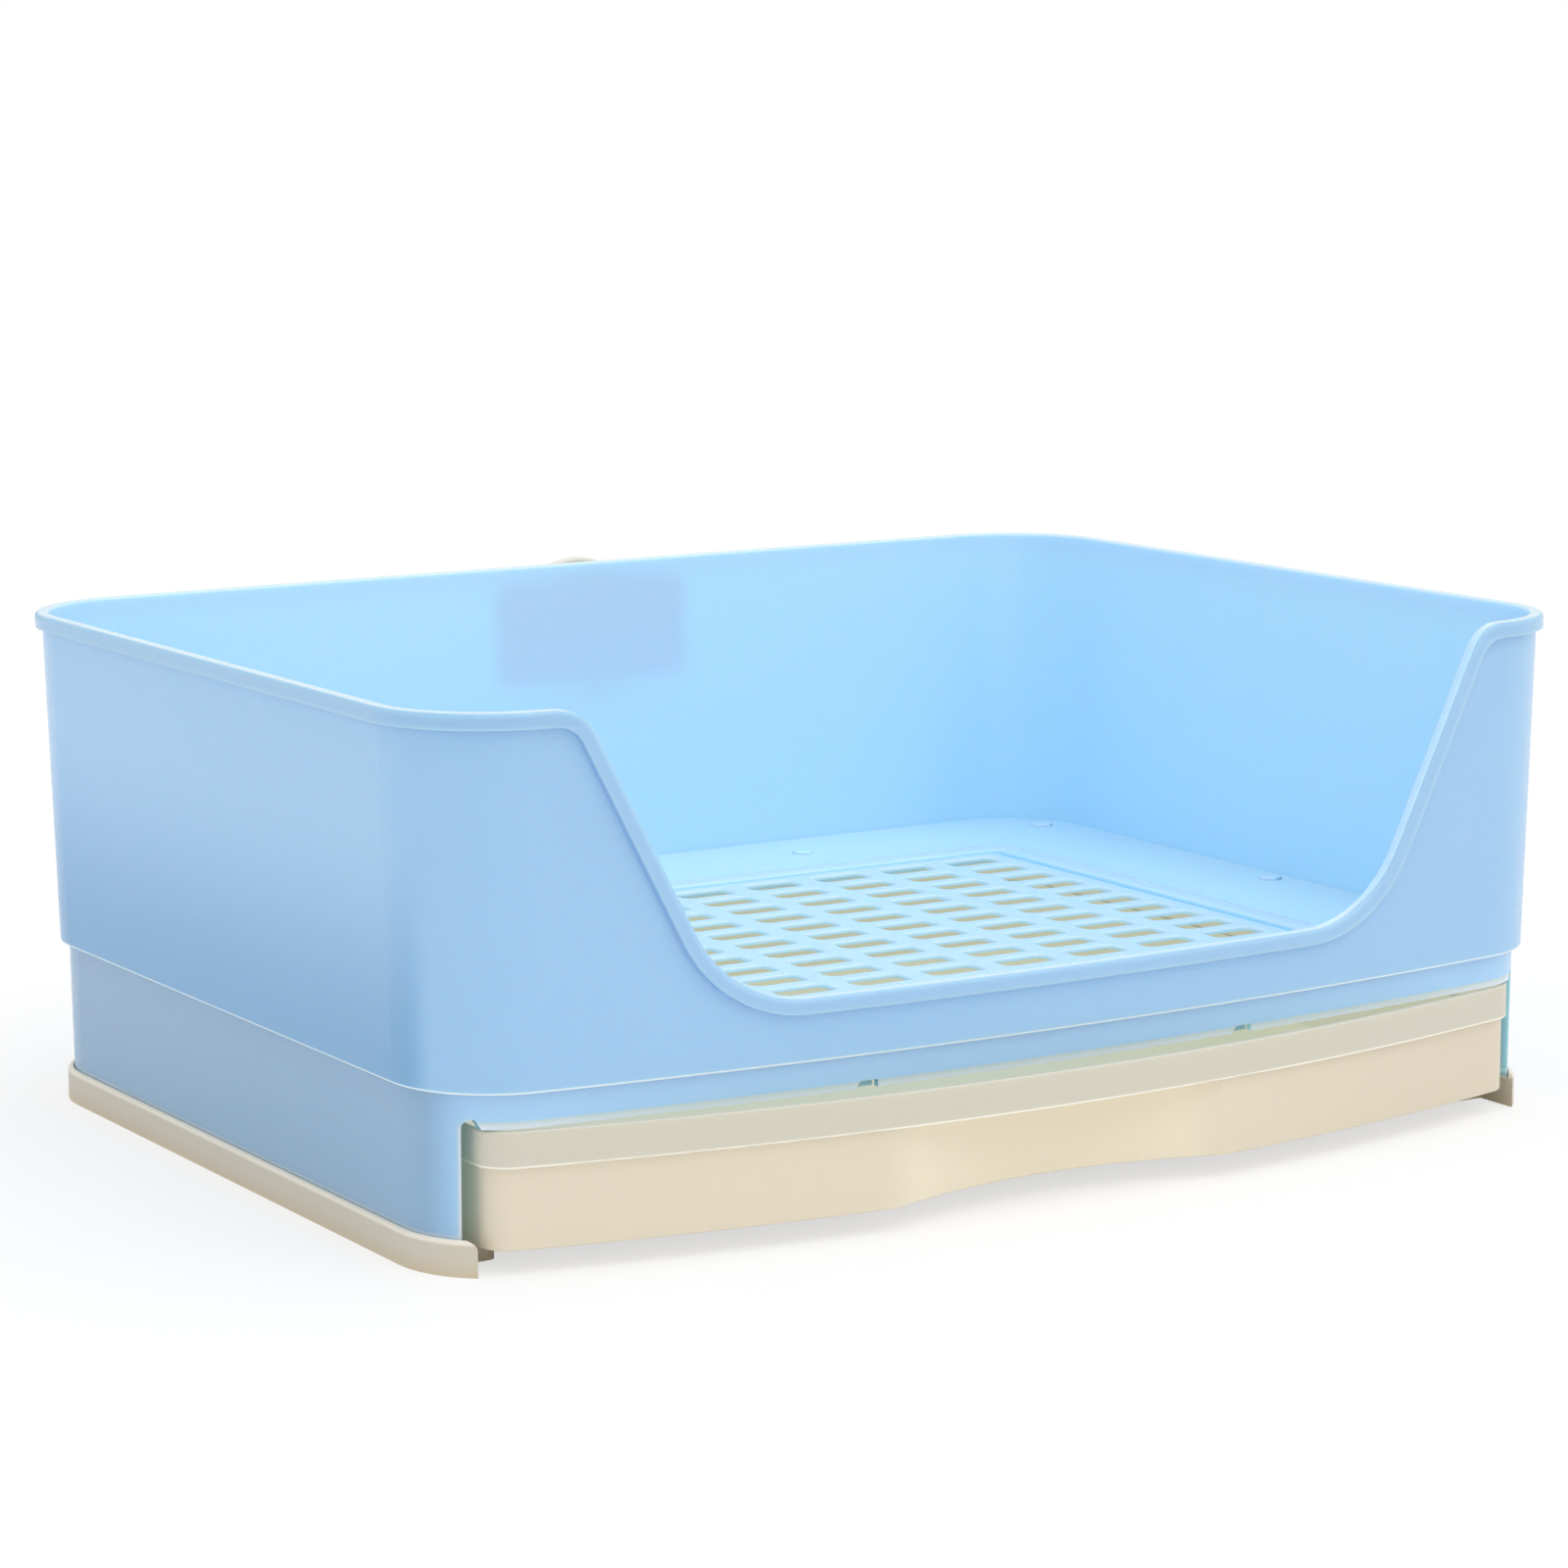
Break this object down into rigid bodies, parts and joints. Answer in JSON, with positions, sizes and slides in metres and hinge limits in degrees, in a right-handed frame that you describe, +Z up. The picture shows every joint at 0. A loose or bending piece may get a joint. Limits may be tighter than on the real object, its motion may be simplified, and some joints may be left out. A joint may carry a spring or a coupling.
{
  "type": "rabbit litter tray",
  "caption": "Two-level plastic litter tray for a rabbit: tub with low entrance and lift-out floor grid over a pull-out litter drawer, with a clamp fixing for a cage on its rear wall.",
  "frame": {"origin": "under the middle of the whole, on the surface that it stands on", "axes": "+X to the right as seen from the entrance, -Y out of the entrance, +Z up"},
  "size_m": [0.4202, 0.3526, 0.164],
  "materials": {
    "cream_plastic": "satin moulded",
    "drawer_plastic": "satin moulded",
    "blue_plastic": "glossy, slightly translucent",
    "pale_blue_plastic": "glossy, slightly translucent",
    "grid_plastic": "glossy, slightly translucent",
    "fixing_plastic": "glossy moulded"
  },
  "bodies": {
    "base": {"base_tray": "cream_plastic"},
    "casing": {"housing": "blue_plastic"},
    "tub": {"surround": "pale_blue_plastic", "stud_plate": "fixing_plastic"},
    "grid": {"floor_grid": "grid_plastic"},
    "pan": {"drawer": "drawer_plastic"},
    "disc": {"clamp_disc": "fixing_plastic"},
    "nut": {"wing_nut": "fixing_plastic"}
  },
  "joints": [
    {"name": "housing_lift", "type": "slide", "parent": "base", "child": "casing", "axis": [0, 0, 1], "range_m": [0, 0.06]},
    {"name": "surround_lift", "type": "slide", "parent": "casing", "child": "tub", "axis": [0, 0, 1], "range_m": [0, 0.12]},
    {"name": "grid_lift", "type": "slide", "parent": "tub", "child": "grid", "axis": [0, 0, 1], "range_m": [0, 0.15]},
    {"name": "drawer_slide", "type": "slide", "parent": "base", "child": "pan", "axis": [0, -1, 0], "range_m": [0, 0.305]},
    {"name": "disc_travel", "type": "slide", "parent": "tub", "child": "disc", "axis": [0, 1, 0], "range_m": [-0.0041, 0.0026]},
    {"name": "nut_turn", "type": "hinge", "parent": "disc", "child": "nut", "pos_m": [0.0135, 0.1603, 0.138], "axis": [0, 1, 0], "range_deg": [-576, 360]}
  ],
  "couplings": [
    {"joint": "disc_travel", "follows": "nut_turn", "m_per_rad": 0.00039789}
  ]
}
